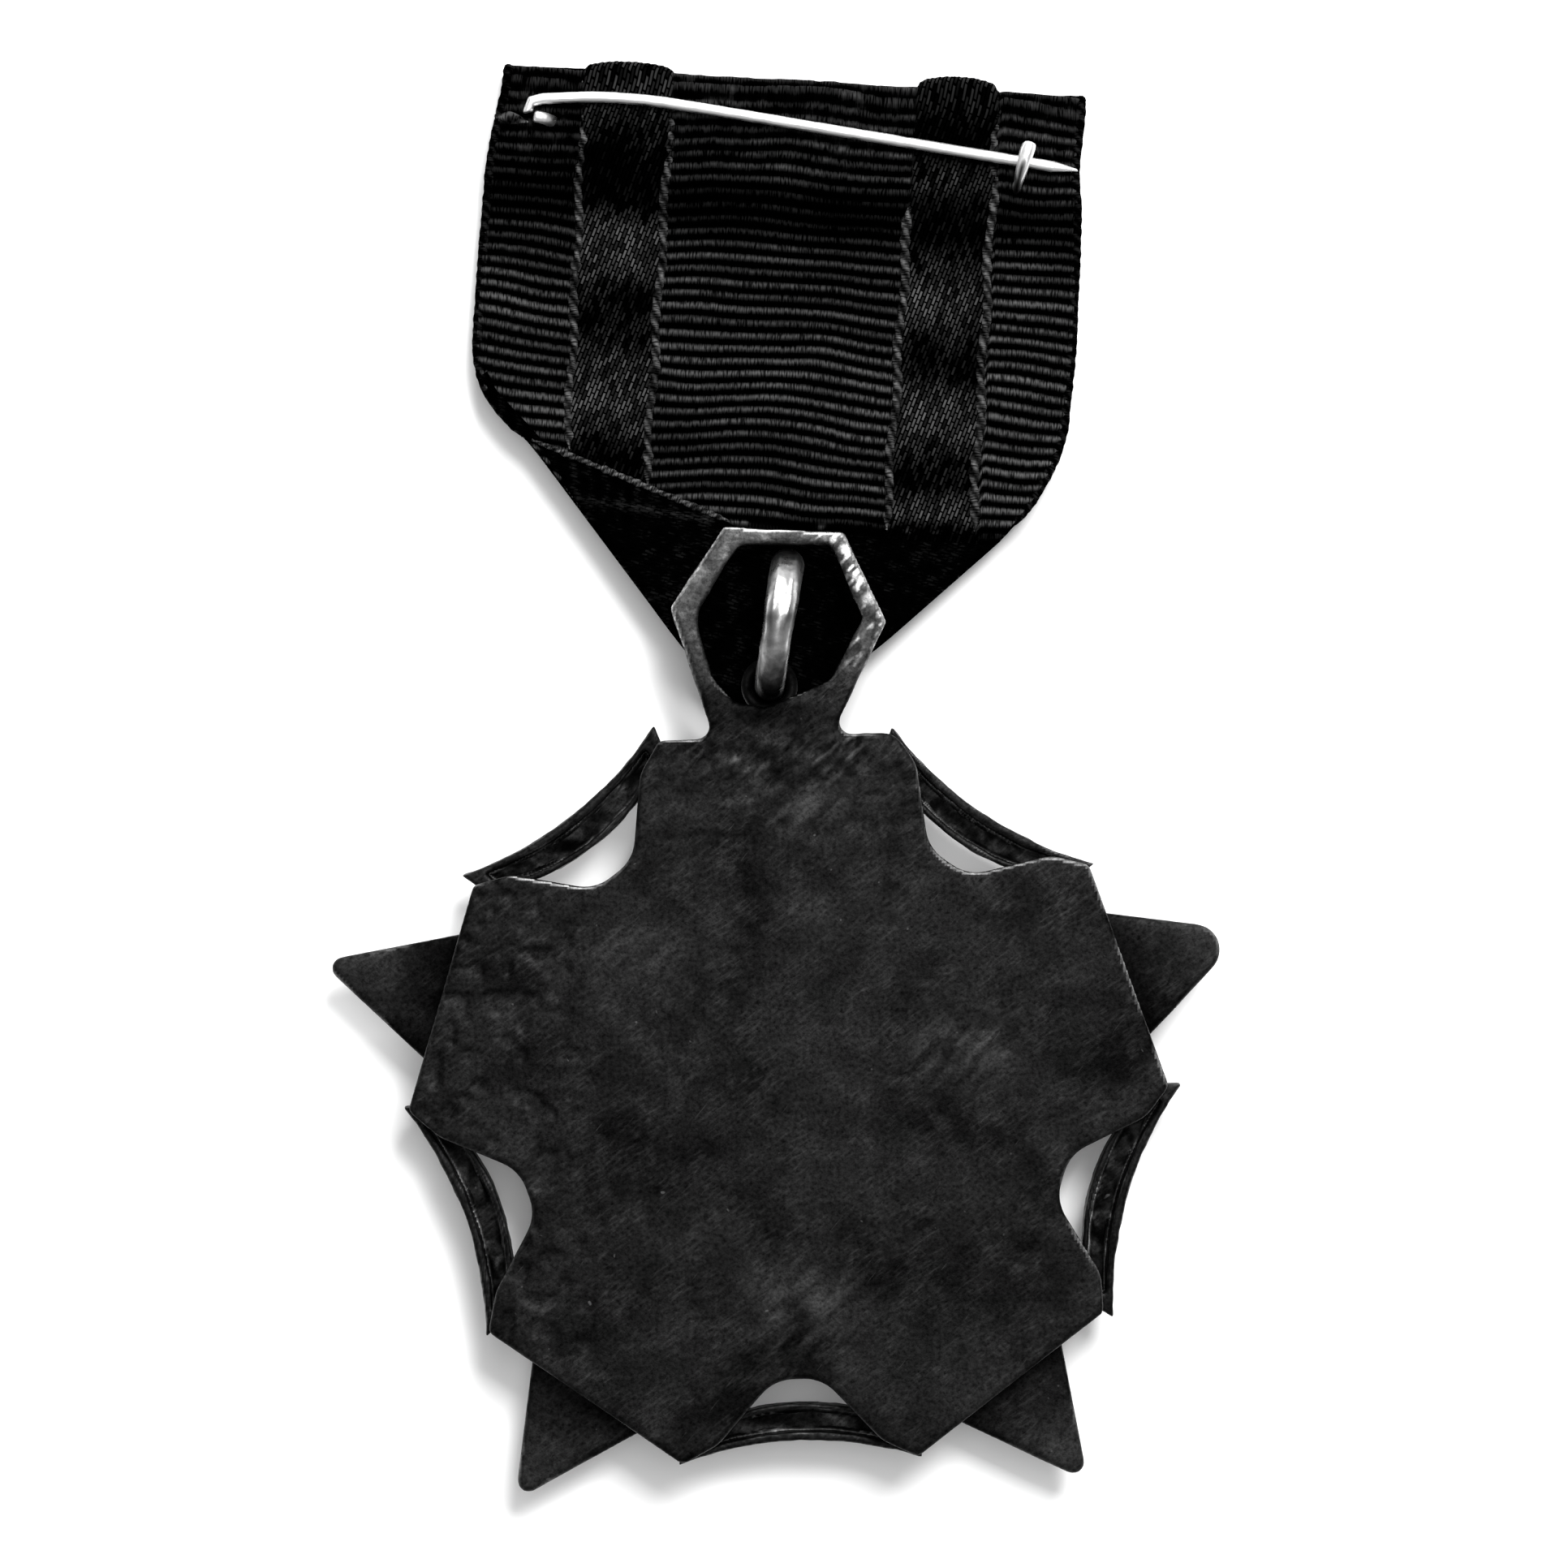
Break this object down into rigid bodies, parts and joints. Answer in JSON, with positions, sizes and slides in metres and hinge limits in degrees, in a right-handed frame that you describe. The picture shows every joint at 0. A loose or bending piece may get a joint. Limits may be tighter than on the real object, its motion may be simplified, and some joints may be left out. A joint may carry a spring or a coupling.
{
  "type": "service medal",
  "caption": "Star-shaped service medal with a patinated plate, lying face down: ring, six-sided loop and folded striped ribbon with a pin brooch.",
  "frame": {"origin": "on the surface the medal lies on, below the middle of its bounding box", "axes": "+Z away from the surface, out of the back of the medal; +Y towards the top of the ribbon; +X to the right, seen from behind the medal"},
  "size_m": [0.0559, 0.0896, 0.01],
  "materials": {
    "ribbon": "woven, ribbed bands and satin stripes",
    "pin_wire": "polished wire",
    "ring": "polished, worn",
    "brooch": "dull",
    "patina": "dark patina with fine scratches"
  },
  "bodies": {
    "ribbon": {"ribbon_front": "ribbon", "ribbon_back": "ribbon", "ribbon_left_fold": "ribbon", "brooch_bar": "brooch", "pin_anchor": "pin_wire", "catch_hook": "pin_wire"},
    "pin": {"pin_needle": "pin_wire"},
    "ring": {"ribbon_point": "ribbon", "suspension_ring": "ring"},
    "badge": {"back_plate": "patina", "ring_eyelet": "patina", "star": "patina", "medallion_disc": "patina", "medallion_rim": "patina", "centre_boss": "patina", "centre_stud": "brooch", "strut_1": "patina", "strut_2": "patina", "strut_3": "patina", "strut_4": "patina", "strut_5": "patina"}
  },
  "joints": [
    {"name": "pin_swing", "type": "hinge", "parent": "ribbon", "child": "pin", "pos_m": [-0.01603, 0.04235, 0.00335], "axis": [-0.0283, -0.5067, 0.8616], "range_deg": [0, 40]},
    {"name": "point_fold", "type": "hinge", "parent": "ribbon", "child": "ring", "pos_m": [-0.00067, 0.01709, 0.00351], "axis": [-0.9984, 0.0558, 0], "range_deg": [0, 80]},
    {"name": "badge_sway", "type": "hinge", "parent": "ring", "child": "badge", "pos_m": [-0.00076, 0.006, 0.00525], "axis": [0, 0, 1], "range_deg": [-9, 9]}
  ]
}
